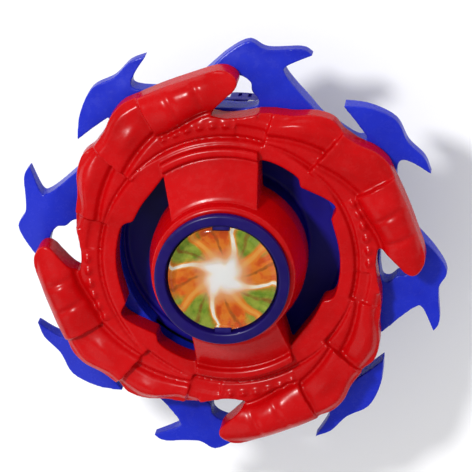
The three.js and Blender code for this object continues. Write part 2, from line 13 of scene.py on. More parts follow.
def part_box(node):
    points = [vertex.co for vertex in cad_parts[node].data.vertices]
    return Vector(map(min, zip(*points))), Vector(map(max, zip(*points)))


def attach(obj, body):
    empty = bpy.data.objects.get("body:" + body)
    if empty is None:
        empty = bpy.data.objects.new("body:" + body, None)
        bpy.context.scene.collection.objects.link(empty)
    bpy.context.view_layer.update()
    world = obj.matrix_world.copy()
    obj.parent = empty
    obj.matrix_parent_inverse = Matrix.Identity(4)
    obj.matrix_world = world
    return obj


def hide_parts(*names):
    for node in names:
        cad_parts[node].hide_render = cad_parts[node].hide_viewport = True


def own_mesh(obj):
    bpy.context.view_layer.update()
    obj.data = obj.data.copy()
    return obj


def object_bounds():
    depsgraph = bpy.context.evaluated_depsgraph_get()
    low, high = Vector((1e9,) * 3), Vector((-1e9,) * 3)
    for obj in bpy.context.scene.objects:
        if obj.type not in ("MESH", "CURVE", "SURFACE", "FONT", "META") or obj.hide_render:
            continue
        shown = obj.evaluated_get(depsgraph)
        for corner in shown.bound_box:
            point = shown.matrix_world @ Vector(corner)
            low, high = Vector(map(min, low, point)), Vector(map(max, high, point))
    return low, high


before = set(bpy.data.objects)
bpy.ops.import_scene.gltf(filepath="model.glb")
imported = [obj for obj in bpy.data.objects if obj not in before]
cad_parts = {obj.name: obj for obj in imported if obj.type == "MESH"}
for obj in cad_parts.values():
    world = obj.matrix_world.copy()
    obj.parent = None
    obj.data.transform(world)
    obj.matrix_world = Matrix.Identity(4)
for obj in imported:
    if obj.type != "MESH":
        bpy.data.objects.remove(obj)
cad_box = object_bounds()

# ---------------------------------------------------------------- driving dimensions
# Millimetres and degrees, in the frame of the CAD: +Z is the spin axis and the tip stands on the origin.

MM = 0.001
QUADRANTS = (0, 90, 180, 270)
HALVES = (0, 180)
EAR_DEG = 98.5  # middle of one ear, the other is opposite
RELEASE_DEG = EAR_DEG - 20  # one release button
RING_TWIST = 27  # the crown's turn on the base
SCREW_DEG = (49, 169, 289)
SCREW_CIRCLE = 12.6
ROUND_STEPS = 144  # sides of a large turned piece
SMALL_STEPS = 64
VOXEL = 0.17 * MM  # detail kept when moulded forms are fused
SOFTENED_ANGLE = 35  # corners sharper than this are rounded by soften

CAMERA_TILT = 19.5  # between the spin axis and the line of sight
CAMERA_SIDE = 72  # the direction the camera leans to, counter-clockwise from +X
CAMERA_LENS = 270
CAMERA_SENSOR = 36
CAMERA_WIDTH = 0.066  # metres seen across the picture at the part
WORLD_LIGHT = 0.78  # even studio light
WORLD_REFLECTED = 0.05  # the dark room that glossy plastic mirrors
KEY_LIGHT = {"offset": (-0.16, 0.24, 0.42), "size": 0.06, "power": 1.7}  # metres and watts
FILL_LIGHT = {"offset": (-0.3, -0.25, 0.35), "size": 0.35, "power": 0.18}
FLOOR_SIZE = 1.5  # half the floor's side in metres


def node_z(name):
    low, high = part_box(name)
    return low.z / MM, high.z / MM


PLATE_BOTTOM = node_z("attack_ring")[0] + 3.2
BLADE_BOTTOM, BLADE_TOP = node_z("blade_ring")

# ---------------------------------------------------------------- ring outlines, as (degrees, radius)
# Each stroke is a smooth run of points, strokes meet at sharp corners, and each quadrant repeats them.

ATTACK_STROKES = (
    ((-12, 21.4), (-6, 20.6), (0, 20.3), (6, 20.7)),
    (
        (6, 20.7), (3.5, 21.9), (0, 23.2), (-3, 24.4), (-3.8, 25.5), (-2, 26.5), (2, 27),
        (10, 26.3), (20, 25.9), (28, 25.9),
    ),
    ((28, 25.9), (33, 26.1), (38, 25.6), (43, 24.6), (49, 24.2)),
    ((49, 24.2), (54, 24.6), (60, 23.9), (66, 22.6), (72, 22)),
)
BLADE_STROKES = (
    ((12, 24.3), (17, 23.8), (22, 24.6), (28, 26), (29.6, 27.1), (27, 28.3), (22.2, 29.8)),
    ((22.2, 29.8), (27, 29.9), (32.8, 29.1), (39.7, 29.6), (47, 28.2), (53.3, 26.2)),
    ((53.3, 26.2), (47, 25.6), (41, 25.2)),
    (
        (41, 25.2), (43, 23.9), (50, 23.3), (57, 23.2),
        (63, 24.1), (69, 25.3), (73, 26.6), (73.2, 27.6), (67.5, 30.2),
    ),
    ((67.5, 30.2), (71, 30.4), (79.5, 29.1), (84.5, 29.9), (90, 28.3), (97, 25.7)),
)
SLOT_STROKES = (
    ((-45, 14.2), (-34, 14.1), (-23, 14.1)),
    ((-23, 14.1), (-18, 15.3), (-5, 15.4), (8, 15.4), (24, 15.6)),
    ((24, 15.6), (28, 16.9), (34, 16.4), (47, 14.8)),
    ((47, 14.8), (52, 15.6), (64, 15.6), (75, 15.2), (105, 15.2), (125, 14.8)),
)
BLADE_WINDOW = (
    (97.5, 20.8), (99, 22.5), (97, 25.2), (91, 25.6), (86, 25.2), (82.8, 24.4),
    (82, 23.2), (79.5, 22.3), (79.5, 21.2), (85, 20.6), (91, 20.6),
)

# ---------------------------------------------------------------- turned outlines, as (radius, height)

BASE_LOWER = (
    (3.6, 5.6), (5.4, 5.6), (7, 6.3), (13, 9.4), (16.3, 12), (16.3, 13), (14.9, 13), (14.9, 12.6),
    (12.4, 10.7), (6.8, 8.1), (5.4, 8.1), (5.4, 10.3), (4.15, 10.3), (4.15, 7.1), (3.6, 7.1),
)
BASE_UPPER = (
    (16.3, 13.3), (16.3, 16.5), (19.6, 16.5), (19.6, 18), (16.2, 18), (16.2, 21.4), (15.2, 21.4),
    (15.2, 20.6), (10.3, 20.6), (10.3, 25.3), (9, 25.3), (9, 14.3), (5, 14.3), (3.5, 13.7), (3.5, 10.6),
    (5.4, 10.6), (5.4, 13.3), (10.3, 13.3), (10.3, 19.4), (14.9, 19.4), (14.9, 13.3),
)
TOWER = ((8.9, PLATE_BOTTOM), (10.8, PLATE_BOTTOM), (10.8, 30), (9.8, 36), (9.4, 36.3), (8.9, 36.3))
EAR = ((9.4, 25.8), (16.6, 25.8), (16.6, 31.75), (15.5, 31.75), (15.3, 30.7), (10.4, 34.5), (9.4, 34.5))
COLLAR = ((6.4, 34.2), (8.4, 34.2), (8.4, 36.6), (9.2, 36.6), (9.2, 38), (7.7, 38), (7.7, 34.8), (6.4, 34.8))
LENS = ((0, 35.5), (7.4, 35.5), (7.4, 37.1), (7.0, 37.45), (4.4, 37.62), (0, 37.7))
FILM = ((0, 35), (7.3, 35), (7.3, 35.3), (0, 35.3))
CORE = (
    (0, 14.6), (8.5, 14.6), (8.5, 33.6), (7.3, 33.6), (7.3, 30.5), (6.8, 30.5), (6.8, 29.9), (7.3, 29.9),
    (7.3, 28.3), (6.8, 28.3), (6.8, 27.7), (7.3, 27.7), (7.3, 15.8), (0, 15.8),
)
CELL_HOLDER = ((6.15, 16.1), (6.95, 16.1), (6.95, 27.2), (6.15, 27.2))
BUTTON_CELL = ((0, 16.9), (4.6, 16.9), (4.6, 17.2), (5.8, 17.2), (5.8, 19.95), (0, 19.95))
LAMP = ((0, 29.7), (1.55, 29.7), (1.55, 30.3), (1.35, 30.3), (1.35, 33.25), (0, 33.3))
CHIP_BLOB = ((0, 27.5), (2, 27.5), (2, 28.4), (0, 28.4))
SCREW = ((0, 9.6), (1.5, 9.6), (1.5, 10.7), (0.9, 10.7), (0.9, 17.6), (0.3, 18.4), (0, 18.4))
TIP_CAP = (
    (0, 0), (1.4, 0), (2.2, 0.5), (2.8, 1.6), (3.1, 3), (3.1, 4.9), (2.6, 5.4),
    (1.35, 5.4), (1.35, 2.2), (0, 2.2),
)
TIP_SHAFT = (
    (0, 2.4), (1.2, 2.4), (1.2, 6.2), (2.1, 6.2), (2.1, 6.9), (1.2, 6.9), (1.2, 10.6), (0.85, 10.6),
    (0.85, 11.2), (1.2, 11.2), (1.2, 11.7), (0.9, 12), (0, 12),
)
SHAFT_CLIP = ((1.05, 10.7), (1.95, 10.7), (1.95, 11.1), (1.05, 11.1))
INNER_RACE = ((1.35, 7.2), (2.3, 7.2), (2.3, 8), (2.05, 8.7), (2.3, 9.4), (2.3, 10.2), (1.35, 10.2))
OUTER_RACE = ((4.0, 7.2), (3.1, 7.2), (3.1, 8), (3.35, 8.7), (3.1, 9.4), (3.1, 10.2), (4.0, 10.2))
BALL_CAGE = ((2.55, 8.4), (2.85, 8.4), (2.85, 9), (2.55, 9))

HOOK = {"inner": 11.4, "wall": 13.4, "outer": 14.8, "half": 11, "z": (22.6, 23.7)}  # under each ear
TAB = {"inner": 9.8, "outer": 12.6, "half": 12, "z": (24.1, 25.3)}  # catches a hook
NIB = ((-1.1, 1.1), (7.0, 7.9), (35.5, 37.4))  # blocks are (x, y, z) spans
NIB_NOTCH = ((-1.2, 1.2), (6.9, 8.4), (35, 38))
DISK_KEY = ((15.6, 17.3), (-1.1, 1.1), (17.8, 21.4))
DISK_KEYWAY = ((15.5, 17.6), (-1.4, 1.4), (17, 23))
SCREW_POST_R = 2.0
SCREW_HOLE_R = 1.1
SCREW_HEAD_ROOM_R = 1.8
LOWER_POST_Z = (10.3, 13)
UPPER_POST_Z = (13.3, 19.6)
DRIVE_SLOT = ((-1, 1), (-0.2, 0.2), (9, 10.2))  # one arm of a screw's cross recess
BUTTON_PAD = {"inner": 17.6, "outer": 19.4, "half": 14, "z": (13.6, 16.2)}
BUTTON_STEM = ((12.4, 18.1), (-2, 2), (14, 15.8))
BUTTON_FINGER = ((14.4, 15.9), (-1.2, 1.2), (15.6, 24.4))
BUTTON_GRIP = {"count": 6, "pitch": 4, "inner": 19.1, "outer": 20, "half": 0.7, "z": (14.1, 15.7)}
BUTTON_ROOMS = (((13.5, 17), (-2.4, 2.4), (12.8, 16.1)), ((13, 16.6), (-1.5, 1.5), (15.8, 21.9)))
FINGER_ARC = {"inner": 14.4, "outer": 16.2, "spare": 6}  # cut in the blade ring
SWITCH_GUIDE = ((-0.5, 3.9), (0, 2.2), (29.8, 31.7))
SWITCH_ROOM = ((-0.15, 3.55), (0.35, 1.85), (30.2, 33))
SWITCH_WEIGHT = ((0.15, 1.95), (0.65, 1.55), (30.5, 31.4))
CONTACT = {"r": 4.5, "thick": 0.4, "tongue": (-0.8, 0.8)}
HOLDER_CUTS = (((-1, 1), (-8, -5.15), (15, 28)), ((-1, 1), (5.15, 8), (25.65, 28)))

DISK = {"r": 19.8, "hole": 16.6, "z": (18.3, 21.5), "bites": 6, "bite_circle": 22.1, "bite_r": 3.2}
BOARD = {"r": 7, "z": (28.6, 29.6)}
CELL_PITCH = 3.2
LAMP_CIRCLE = 4.2
LAMP_DEG = {"red": 90, "green": 210, "blue": 330}
WIRE_R = 0.25
WIRE_NEGATIVE = (
    (0, -6.35, 16.6), (0, -6.75, 17.6), (0, -6.75, 22), (0, -6.75, 25.8), (0, -6.3, 27.1), (0, -5.8, 28.3),
)
WIRE_POSITIVE = ((0, 6.3, 26.9), (0, 6.25, 27.5), (0, 5.8, 28.3))
COIL = {"r": 0.32, "wire_r": 0.07, "turns": 4, "x": (2.12, 3.38), "y": 1.1, "z": 30.95}
LEAF = {"end": 10.1, "mid": 11.9, "half": 3.6, "thick": 0.35, "z": (14.2, 15.6)}
BALL = {"r": 0.58, "count": 7, "circle": 2.7, "z": 8.7}


def polar(degrees, r):
    a = math.radians(degrees)
    return Vector((r * math.cos(a), r * math.sin(a)))


def spline(points, steps):
    """Points on a smooth curve through the given ones, without the last."""
    padded = [2 * points[0] - points[1], *points, 2 * points[-1] - points[-2]]
    made = []
    for before, a, b, after in zip(padded, padded[1:], padded[2:], padded[3:]):
        for i in range(steps):
            t = i / steps
            made.append(
                0.5 * (2 * a + (b - before) * t + (2 * before - 5 * a + 4 * b - after) * t**2
                       + (3 * a - before - 3 * b + after) * t**3)
            )
    return made


def ring_outline(strokes, steps=6, starts=QUADRANTS):
    outline = []
    for quadrant in starts:
        for stroke in strokes:
            outline += spline([polar(d + quadrant, r) for d, r in stroke], steps)
        outline.append(polar(strokes[-1][-1][0] + quadrant, strokes[-1][-1][1]))
    return outline


def circle(r, steps=ROUND_STEPS):
    return [polar(i * 360 / steps, r) for i in range(steps)]


def arc_slice(inner, outer, middle, half, steps=12):
    spread = [middle - half + 2 * half * i / steps for i in range(steps + 1)]
    return [polar(d, outer) for d in spread] + [polar(d, inner) for d in reversed(spread)]


# ---------------------------------------------------------------- mesh building


def plate(outlines, bottom, top):
    """A flat slab with the first outline as its edge and the others as holes."""
    bm = bmesh.new()
    edges = []
    for outline in outlines:
        ring = [bm.verts.new((p.x, p.y, bottom)) for p in outline]
        edges += [bm.edges.new((a, b)) for a, b in zip(ring, ring[1:] + ring[:1])]
    bmesh.ops.triangle_fill(bm, edges=edges, use_beauty=True)
    up = bmesh.ops.extrude_face_region(bm, geom=bm.faces[:], use_keep_orig=True)
    moved = [g for g in up["geom"] if isinstance(g, bmesh.types.BMVert)]
    bmesh.ops.translate(bm, verts=moved, vec=(0, 0, top - bottom))
    bmesh.ops.recalc_face_normals(bm, faces=bm.faces[:])
    return bm


def filleted(profile, radius, steps=4, closed=True):
    """The profile with each corner rounded by up to radius."""
    points = [Vector(p) for p in profile]
    made = []
    for i, corner in enumerate(points):
        if not closed and i in (0, len(points) - 1):
            made.append(corner)
            continue
        before, after = points[i - 1] - corner, points[(i + 1) % len(points)] - corner
        reach = min(radius, before.length * 0.45, after.length * 0.45)
        start, end = corner + before.normalized() * reach, corner + after.normalized() * reach
        for k in range(steps + 1):
            t = k / steps
            made.append((1 - t) ** 2 * start + 2 * t * (1 - t) * corner + t**2 * end)
    return made


def turned(profile, radius=0.25, steps=ROUND_STEPS):
    """The rounded (r, z) profile spun round the axis. A profile that starts on the axis ends on it too."""
    on_axis = profile[0][0] == 0
    points = filleted(profile, radius, closed=not on_axis)
    bm = bmesh.new()
    columns = []
    for i in range(steps):
        a = 2 * math.pi * i / steps
        columns.append([bm.verts.new((p.x * math.cos(a), p.x * math.sin(a), p.y)) for p in points])
    pairs = len(points) - 1 if on_axis else len(points)
    for left, right in zip(columns, columns[1:] + columns[:1]):
        for k in range(pairs):
            n = (k + 1) % len(points)
            bm.faces.new((left[k], right[k], right[n], left[n]))
    bmesh.ops.remove_doubles(bm, verts=bm.verts[:], dist=1e-5)
    bmesh.ops.recalc_face_normals(bm, faces=bm.faces[:])
    return bm


def fan(profile, half_width, middle, steps=24):
    """A closed (r, z) profile swept over a fan whose half width at each radius is half_width(r)."""
    bm = bmesh.new()
    rows = []
    for i in range(steps + 1):
        share = 2 * i / steps - 1
        row = []
        for r, z in profile:
            angle = middle + math.degrees(math.asin(half_width(r) / r)) * share
            flat = polar(angle, r)
            row.append(bm.verts.new((flat.x, flat.y, z)))
        rows.append(row)
    for a, b in zip(rows, rows[1:]):
        for k in range(len(profile)):
            n = (k + 1) % len(profile)
            bm.faces.new((a[k], a[n], b[n], b[k]))
    bm.faces.new(rows[0])
    bm.faces.new(rows[-1][::-1])
    bmesh.ops.recalc_face_normals(bm, faces=bm.faces[:])
    return bm


def cylinder(centre, r, bottom, top, steps=48):
    return plate([[centre + p for p in circle(r, steps)]], bottom, top)


def ball(r, x, y, z):
    bm = bmesh.new()
    bmesh.ops.create_icosphere(bm, subdivisions=3, radius=r, matrix=Matrix.Translation((x, y, z)))
    return bm


def block(x, y, z, degrees=0):
    bm = bmesh.new()
    bmesh.ops.create_cube(bm, size=1)
    for v in bm.verts:
        v.co = Vector((x[v.co.x > 0], y[v.co.y > 0], z[v.co.z > 0]))
    turn = Matrix.Rotation(math.radians(degrees), 3, "Z")
    bmesh.ops.rotate(bm, verts=bm.verts[:], cent=(0, 0, 0), matrix=turn)
    return bm


def object_from(name, *parts):
    """One object in metres from forms in millimetres, which are used up."""
    whole = bmesh.new()
    for part in parts:
        mesh = bpy.data.meshes.new("part")
        part.to_mesh(mesh)
        part.free()
        whole.from_mesh(mesh)
        bpy.data.meshes.remove(mesh)
    bmesh.ops.scale(whole, verts=whole.verts[:], vec=(MM, MM, MM))
    mesh = bpy.data.meshes.new(name)
    whole.to_mesh(mesh)
    whole.free()
    piece = bpy.data.objects.new(name, mesh)
    bpy.context.scene.collection.objects.link(piece)
    return piece


def gather(piece, other):
    """Adds the other object's mesh to the piece's, and removes the other."""
    whole = bmesh.new()
    whole.from_mesh(piece.data)
    whole.from_mesh(other.data)
    whole.to_mesh(piece.data)
    whole.free()
    bpy.data.objects.remove(other)


def rod(name, points, r, steps=8):
    """A round wire on a smooth curve through the points, in millimetres."""
    route = [Vector(p) for p in points]
    route = spline(route, steps) + route[-1:]
    curve = bpy.data.curves.new(name, "CURVE")
    curve.dimensions = "3D"
    curve.bevel_depth = r * MM
    curve.bevel_resolution = 3
    curve.use_fill_caps = True
    path = curve.splines.new("POLY")
    path.points.add(len(route) - 1)
    for made, wanted in zip(path.points, route):
        made.co = (*(wanted * MM), 1)
    bent = bpy.data.objects.new(f"{name}_path", curve)
    bpy.context.scene.collection.objects.link(bent)
    mesh = bpy.data.meshes.new_from_object(bent.evaluated_get(bpy.context.evaluated_depsgraph_get()))
    bpy.data.objects.remove(bent)
    bpy.data.curves.remove(curve)
    piece = bpy.data.objects.new(name, mesh)
    bpy.context.scene.collection.objects.link(piece)
    return piece


def shift(piece, offset):
    """Moves the piece's mesh by so many millimetres in plan."""
    for v in piece.data.vertices:
        v.co += Vector((offset.x, offset.y, 0)) * MM


def apply_modifiers(piece):
    graph = bpy.context.evaluated_depsgraph_get()
    made = bpy.data.meshes.new_from_object(piece.evaluated_get(graph))
    old = piece.data
    piece.modifiers.clear()
    piece.data = made
    bpy.data.meshes.remove(old)


def fuse(piece, voxel=VOXEL, smooth=2):
    """Overlapping forms become one moulded skin with slightly rounded edges."""
    remesh = piece.modifiers.new("fuse", "REMESH")
    remesh.mode = "VOXEL"
    remesh.voxel_size = voxel
    if smooth:
        relax = piece.modifiers.new("relax", "SMOOTH")
        relax.iterations = smooth
        relax.factor = 0.5
    apply_modifiers(piece)


def combine(piece, tool, operation):
    mod = piece.modifiers.new("combine", "BOOLEAN")
    mod.operation = operation
    mod.solver = "EXACT"
    mod.object = tool
    apply_modifiers(piece)
    bpy.data.objects.remove(tool)


def carve(piece, *tools):
    """Cuts the tool forms out of the piece."""
    for form in tools:
        combine(piece, object_from("tool", form), "DIFFERENCE")


def soften(piece, width, segments=3):
    bevel = piece.modifiers.new("soften", "BEVEL")
    bevel.width = width * MM
    bevel.segments = segments
    bevel.limit_method = "ANGLE"
    bevel.angle_limit = math.radians(SOFTENED_ANGLE)
    apply_modifiers(piece)


def finished(piece, material, slot, body, *replaced, flat_angle=None):
    """Gives the piece its material and its place in the frame."""
    for polygon in piece.data.polygons:
        polygon.use_smooth = True
    if flat_angle is not None:
        piece.data.set_sharp_from_angle(angle=math.radians(flat_angle))
    piece.data.materials.clear()
    piece.data.materials.append(material)
    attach(piece, body)
    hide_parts(*replaced)


# ---------------------------------------------------------------- materials


class Nodes:
    """Short calls for building a material's node tree."""

    def __init__(self, name):
        self.material = bpy.data.materials.new(name)
        self.material.use_nodes = True
        self.tree = self.material.node_tree
        self.shader = self.tree.nodes["Principled BSDF"]
        coordinates = self.tree.nodes.new("ShaderNodeTexCoord")
        scaled = self.tree.nodes.new("ShaderNodeVectorMath")
        scaled.operation = "SCALE"
        scaled.inputs["Scale"].default_value = 1 / MM
        self.link(coordinates.outputs["Object"], scaled.inputs[0])
        self.mm = scaled.outputs[0]

    def link(self, source, target):
        self.tree.links.new(source, target)

    def set(self, **values):
        for name, value in values.items():
            self.shader.inputs[name.replace("_", " ")].default_value = value

    def math(self, operation, a, b=None, clamp=False):
        node = self.tree.nodes.new("ShaderNodeMath")
        node.operation = operation
        node.use_clamp = clamp
        for socket, value in zip(node.inputs, (a, b)):
            if value is None:
                continue
            if isinstance(value, (int, float)):
                socket.default_value = value
            else:
                self.link(value, socket)
        return node.outputs[0]

    def noise(self, scale, detail=3.0, roughness=0.55, stretch=None):
        node = self.tree.nodes.new("ShaderNodeTexNoise")
        node.inputs["Scale"].default_value = scale
        node.inputs["Detail"].default_value = detail
        node.inputs["Roughness"].default_value = roughness
        vector = self.mm
        if stretch:
            mapping = self.tree.nodes.new("ShaderNodeMapping")
            mapping.inputs["Scale"].default_value = stretch
            self.link(self.mm, mapping.inputs["Vector"])
            vector = mapping.outputs[0]
        self.link(vector, node.inputs["Vector"])
        return node.outputs["Fac"]

    def ramp(self, fac, *stops):
        """A colour ramp of (position, colour) stops."""
        node = self.tree.nodes.new("ShaderNodeValToRGB")
        elements = node.color_ramp.elements
        while len(elements) < len(stops):
            elements.new(0.5)
        for element, (position, colour) in zip(elements, stops):
            element.position = position
            element.color = (*colour, 1)
        self.link(fac, node.inputs["Fac"])
        return node.outputs["Color"]

    def span(self, fac, low, high, start=0.0, end=1.0):
        """fac between start and end, as a number from low to high."""
        node = self.tree.nodes.new("ShaderNodeMapRange")
        for name, value in zip(("From Min", "From Max", "To Min", "To Max"), (start, end, low, high)):
            node.inputs[name].default_value = value
        self.link(fac, node.inputs["Value"])
        return node.outputs["Result"]

    def mix(self, fac, a, b):
        node = self.tree.nodes.new("ShaderNodeMix")
        node.data_type = "RGBA"
        sockets = (node.inputs[0], node.inputs[6], node.inputs[7])
        for socket, value in zip(sockets, (fac, a, b)):
            if isinstance(value, (int, float)):
                socket.default_value = value
            elif isinstance(value, tuple):
                socket.default_value = (*value, 1)
            else:
                self.link(value, socket)
        return node.outputs[2]

    def edge_wear(self):
        """0 on flats and 1 on sharp outward edges, broken up by noise."""
        geometry = self.tree.nodes.new("ShaderNodeNewGeometry")
        edge = self.span(geometry.outputs["Pointiness"], 0, 1, 0.52, 0.6)
        return self.math("MULTIPLY", edge, self.span(self.noise(0.9, 5), 0, 1, 0.45, 0.65), clamp=True)

    def bump(self, *layers):
        """Stacks (height, strength, distance in millimetres) layers into the shader's normal."""
        normal = None
        for height, strength, distance in layers:
            node = self.tree.nodes.new("ShaderNodeBump")
            node.inputs["Strength"].default_value = strength
            node.inputs["Distance"].default_value = distance * MM
            self.link(height, node.inputs["Height"])
            if normal is not None:
                self.link(normal, node.inputs["Normal"])
            normal = node.outputs["Normal"]
        self.link(normal, self.shader.inputs["Normal"])


def plastic(name, colour, pale, deep, roughness=0.24, wear=0.5, coat=0.05, shine=0.3):
    """Moulded plastic: cloudy pigment, orange peel, scuffs, slightly bleached edges and matte side walls."""
    n = Nodes(name)
    base = n.ramp(n.noise(0.12, 4), (0.3, deep), (0.55, colour))
    specks = n.span(n.noise(2.6, 6), 0, 0.14, 0.64, 0.8)
    marked = n.mix(specks, base, pale)
    worn = n.math("MULTIPLY", n.edge_wear(), wear)
    n.link(n.mix(worn, marked, pale), n.shader.inputs["Base Color"])
    normal = n.tree.nodes.new("ShaderNodeSeparateXYZ")
    n.link(n.tree.nodes.new("ShaderNodeNewGeometry").outputs["True Normal"], normal.inputs[0])
    upright = n.math("ABSOLUTE", normal.outputs["Z"])
    n.link(n.span(upright, 0.03, shine, 0.15, 0.6), n.shader.inputs["Specular IOR Level"])
    scuff = n.noise(0.9, 7, 0.68)
    n.link(n.span(scuff, roughness - 0.02, roughness + 0.1, 0.4, 0.72), n.shader.inputs["Roughness"])
    hairs = n.noise(1.3, 4, 0.7, stretch=(1, 0.05, 1))
    n.link(n.span(upright, 0, coat, 0.15, 0.6), n.shader.inputs["Coat Weight"])
    n.set(Coat_Roughness=0.1, IOR=1.5)
    scratches = n.span(hairs, 0, 1, 0.66, 0.7)
    n.bump((n.noise(0.7, 2), 0.3, 0.05), (n.noise(8, 3), 0.1, 0.015), (scratches, 0.1, 0.01))
    return n.material


def metal(name, colour, dark, roughness=0.28, brushed=None, grain=6.0):
    """Metal with tool marks, cloudy tarnish and worn bright edges."""
    n = Nodes(name)
    tone = n.ramp(n.noise(0.5, 5), (0.35, dark), (0.7, colour))
    bright = tuple(min(1, c * 1.25) for c in colour)
    n.link(n.mix(n.edge_wear(), tone, bright), n.shader.inputs["Base Color"])
    marks = n.noise(grain, 4, 0.6, stretch=brushed)
    n.link(n.span(marks, roughness - 0.08, roughness + 0.15, 0.3, 0.7), n.shader.inputs["Roughness"])
    n.set(Metallic=1.0)
    n.bump((marks, 0.2, 0.02), (n.noise(0.8, 2), 0.15, 0.04))
    return n.material


def clear_plastic(name, tint, transmission=1.0, roughness=0.04):
    """Clear or tinted resin with faint haze and hairline scratches."""
    n = Nodes(name)
    haze = n.noise(0.35, 4)
    n.link(n.ramp(haze, (0.3, tint), (0.8, tuple(0.92 * c for c in tint))), n.shader.inputs["Base Color"])
    hairs = n.noise(3.0, 5, 0.7, stretch=(1, 0.06, 1))
    n.link(n.span(hairs, roughness, roughness + 0.1, 0.5, 0.75), n.shader.inputs["Roughness"])
    n.set(Transmission_Weight=transmission, IOR=1.49)
    n.bump((hairs, 0.05, 0.01), (n.noise(0.4, 2), 0.1, 0.03))
    return n.material


def laminate(name):
    """Circuit board: solder mask over faint woven glass, with copper tracks showing through."""
    n = Nodes(name)
    weave = n.noise(5, 2, stretch=(1, 3, 1))
    tracks = n.span(n.noise(0.9, 0), 0, 1, 0.5, 0.53)
    mask = n.ramp(weave, (0.3, (0.006, 0.08, 0.025)), (0.7, (0.012, 0.13, 0.04)))
    n.link(n.mix(tracks, mask, (0.03, 0.24, 0.06)), n.shader.inputs["Base Color"])
    n.link(n.span(weave, 0.25, 0.4), n.shader.inputs["Roughness"])
    n.bump((tracks, 0.5, 0.04), (weave, 0.1, 0.01))
    return n.material


PRINT_R = 7.3
PRINT_GREEN = (0.15, 0.27, 0.015)
PRINT_LIME = (0.36, 0.42, 0.045)
PRINT_ORANGE = (0.86, 0.23, 0.018)
PRINT_AMBER = (0.93, 0.40, 0.07)
PRINT_EMBER = (0.72, 0.085, 0.006)
PRINT_RUST = (0.30, 0.055, 0.008)
PRINT_WHITE = (1.0, 0.93, 0.78)
PRINT_PEACH = (0.92, 0.50, 0.24)
WHITE_RAYS = (45, 0.72)  # direction at the centre in degrees, and how far it bends by the rim in radians
ORANGE_RAYS = (19, 0.37)
EMBERS = (3, 0.1)
RUST_LINES = (12, 0.5)


def printed_film(name):
    """A plain pinwheel: a white heart, four bent white rays, orange rays and embers on mottled green, which
    also glows faintly though the film is no lamp (painted light).
    """
    n = Nodes(name)
    parts = n.tree.nodes.new("ShaderNodeSeparateXYZ")
    n.link(n.mm, parts.inputs[0])
    x, y = parts.outputs["X"], parts.outputs["Y"]
    r = n.math("SQRT", n.math("ADD", n.math("MULTIPLY", x, x), n.math("MULTIPLY", y, y)))
    share = n.math("DIVIDE", r, PRINT_R)
    wobble = n.math("MULTIPLY", n.math("SUBTRACT", n.noise(0.45, 2), 0.5), 0.12)
    angle = n.math("ADD", n.math("ARCTAN2", y, x), wobble)

    def wave(rays, count=4):
        """1 along evenly spaced bent rays and 0 midway between them."""
        degrees, bend = rays
        straight = n.math("SUBTRACT", angle, n.math("MULTIPLY", share, bend))
        phase = n.math("MULTIPLY", n.math("SUBTRACT", straight, math.radians(degrees)), float(count))
        return n.math("ADD", n.math("MULTIPLY", n.math("COSINE", phase), 0.5), 0.5)

    def ray(rays, thick, taper):
        """A mask that's 1 inside rays whose thickness falls towards the rim."""
        off = n.math("MULTIPLY", n.math("SUBTRACT", 1.0, wave(rays)), n.math("MULTIPLY", share, share))
        left = n.math("SUBTRACT", 1.0, share)
        room = n.math("ADD", n.math("MULTIPLY", n.math("MULTIPLY", left, left), taper), thick)
        return n.span(n.math("DIVIDE", off, room), 1, 0, 0.25, 1.1)

    ground = n.ramp(n.noise(0.9, 3), (0.35, PRINT_GREEN), (0.62, PRINT_LIME))
    flicker = n.span(n.noise(1.1, 3), -0.22, 0.22)
    inward = n.span(share, 0.8, 0, 0.3, 1.0)
    fire = n.math("ADD", n.math("ADD", wave(EMBERS), flicker), inward)
    embers = n.ramp(n.noise(0.8, 3), (0.4, PRINT_EMBER), (0.6, PRINT_ORANGE))
    picture = n.mix(n.span(fire, 0, 1, 0.5, 0.85), ground, embers)
    lines = n.math("ADD", wave(RUST_LINES, 16), n.span(n.noise(1.6, 3), -0.4, 0.25))
    picture = n.mix(n.span(lines, 0, 0.75, 0.72, 1.0), picture, PRINT_RUST)
    picture = n.mix(n.span(share, 0.85, 0, 0.16, 0.5), picture, PRINT_AMBER)
    picture = n.mix(ray(ORANGE_RAYS, 0.035, 0.06), picture, PRINT_ORANGE)
    picture = n.mix(n.math("MULTIPLY", ray(ORANGE_RAYS, 0.006, 0.03), 0.8), picture, PRINT_AMBER)
    picture = n.mix(ray(WHITE_RAYS, 0.016, 0.05), picture, PRINT_AMBER)
    picture = n.mix(ray(WHITE_RAYS, 0.004, 0.03), picture, PRINT_WHITE)
    short = n.math("MULTIPLY", wave(ORANGE_RAYS), 0.5)
    spikes = n.math("ADD", n.math("POWER", wave(WHITE_RAYS), 3.0), short)
    star = n.math("SUBTRACT", share, n.math("MULTIPLY", spikes, 0.18))
    picture = n.mix(n.span(star, 0.95, 0, 0.22, 0.5), picture, PRINT_PEACH)
    heart = n.span(star, 1, 0, 0.1, 0.32)
    picture = n.mix(heart, picture, (1.0, 0.99, 0.96))
    n.link(picture, n.shader.inputs["Base Color"])
    # The picture also goes to emission, so the film glows though it is no lamp: painted light.
    n.link(picture, n.shader.inputs["Emission Color"])
    n.link(n.span(n.noise(0.8, 3), 0.3, 0.45), n.shader.inputs["Roughness"])
    n.set(Emission_Strength=0.45)
    n.bump((n.noise(4, 3), 0.08, 0.01))
    return n.material


def grey(share):
    return (share, share, 1.05 * share)


